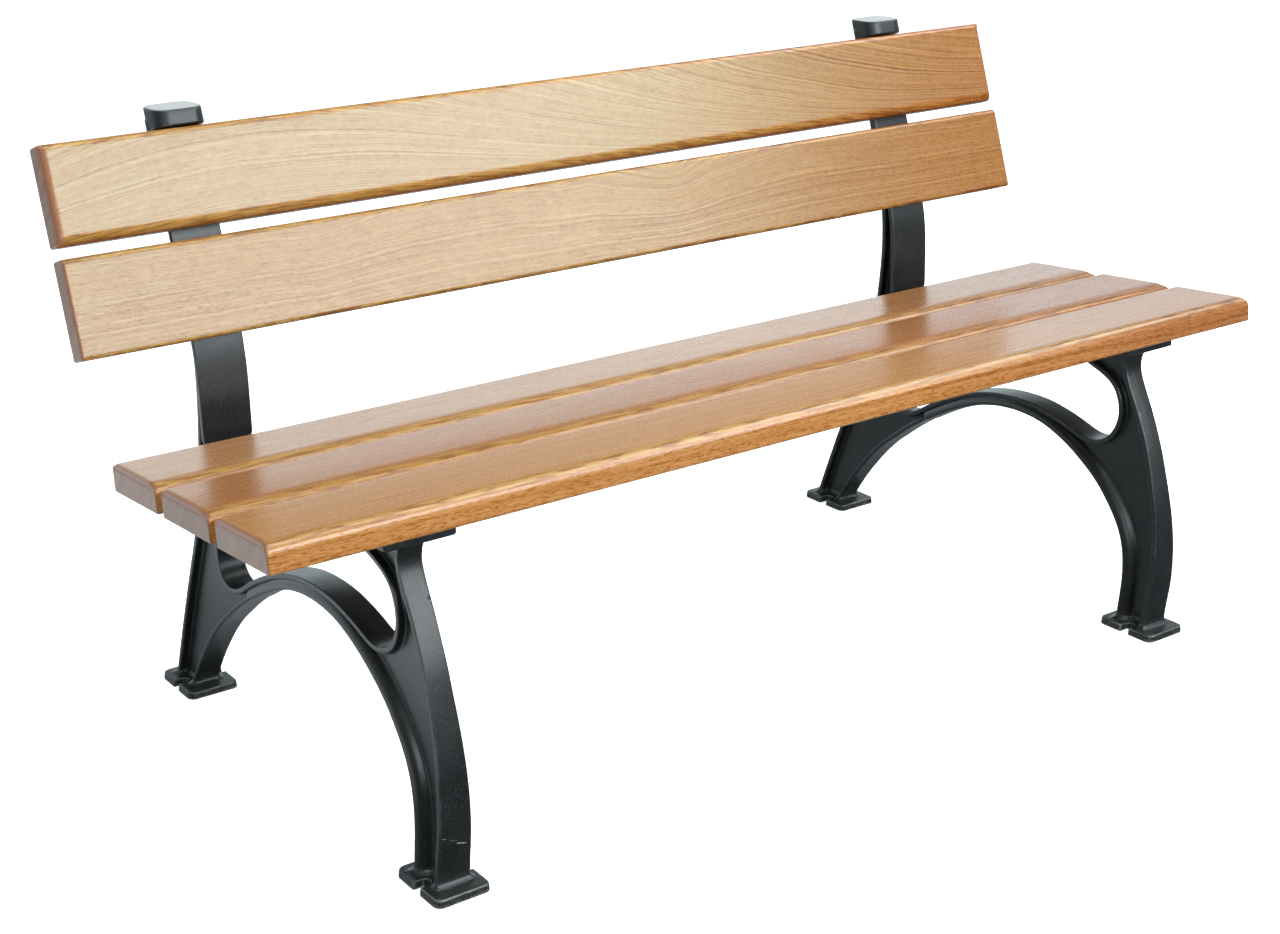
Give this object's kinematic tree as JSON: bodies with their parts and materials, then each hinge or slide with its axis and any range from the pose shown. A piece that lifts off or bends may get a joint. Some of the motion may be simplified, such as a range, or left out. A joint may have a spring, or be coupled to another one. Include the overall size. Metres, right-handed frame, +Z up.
{
  "type": "garden bench",
  "caption": "Garden bench with a back: varnished hardwood seat and back slats screwed to arched black cast-iron end frames with anchor slots in the feet.",
  "frame": {"origin": "on the ground, in the middle of the bench footprint", "axes": "+X along the bench to the right of someone looking at its front, +Y to the back, +Z up"},
  "size_m": [1.5, 0.745, 0.795],
  "materials": {
    "black_cast_iron": "black semi-gloss paint over sand-cast iron, fine cast texture, worn foot edges",
    "varnished_hardwood": "clear satin varnish over honey-brown tropical hardwood with long open grain",
    "zinc_plated_steel": "bright zinc plate"
  },
  "bodies": {
    "root": {"back_lower_left_screws": "zinc_plated_steel", "back_lower_left_washers": "zinc_plated_steel", "back_lower_right_screws": "zinc_plated_steel", "back_lower_right_washers": "zinc_plated_steel", "back_slat_lower": "varnished_hardwood", "back_slat_upper": "varnished_hardwood", "back_upper_left_screws": "zinc_plated_steel", "back_upper_left_washers": "zinc_plated_steel", "back_upper_right_screws": "zinc_plated_steel", "back_upper_right_washers": "zinc_plated_steel", "left_end_frame": "black_cast_iron", "right_end_frame": "black_cast_iron", "seat_front_left_screws": "zinc_plated_steel", "seat_front_left_washers": "zinc_plated_steel", "seat_front_right_screws": "zinc_plated_steel", "seat_front_right_washers": "zinc_plated_steel", "seat_middle_left_screws": "zinc_plated_steel", "seat_middle_left_washers": "zinc_plated_steel", "seat_middle_right_screws": "zinc_plated_steel", "seat_middle_right_washers": "zinc_plated_steel", "seat_rear_left_screws": "zinc_plated_steel", "seat_rear_left_washers": "zinc_plated_steel", "seat_rear_right_screws": "zinc_plated_steel", "seat_rear_right_washers": "zinc_plated_steel", "seat_slat_front": "varnished_hardwood", "seat_slat_middle": "varnished_hardwood", "seat_slat_rear": "varnished_hardwood"}
  },
  "joints": []
}
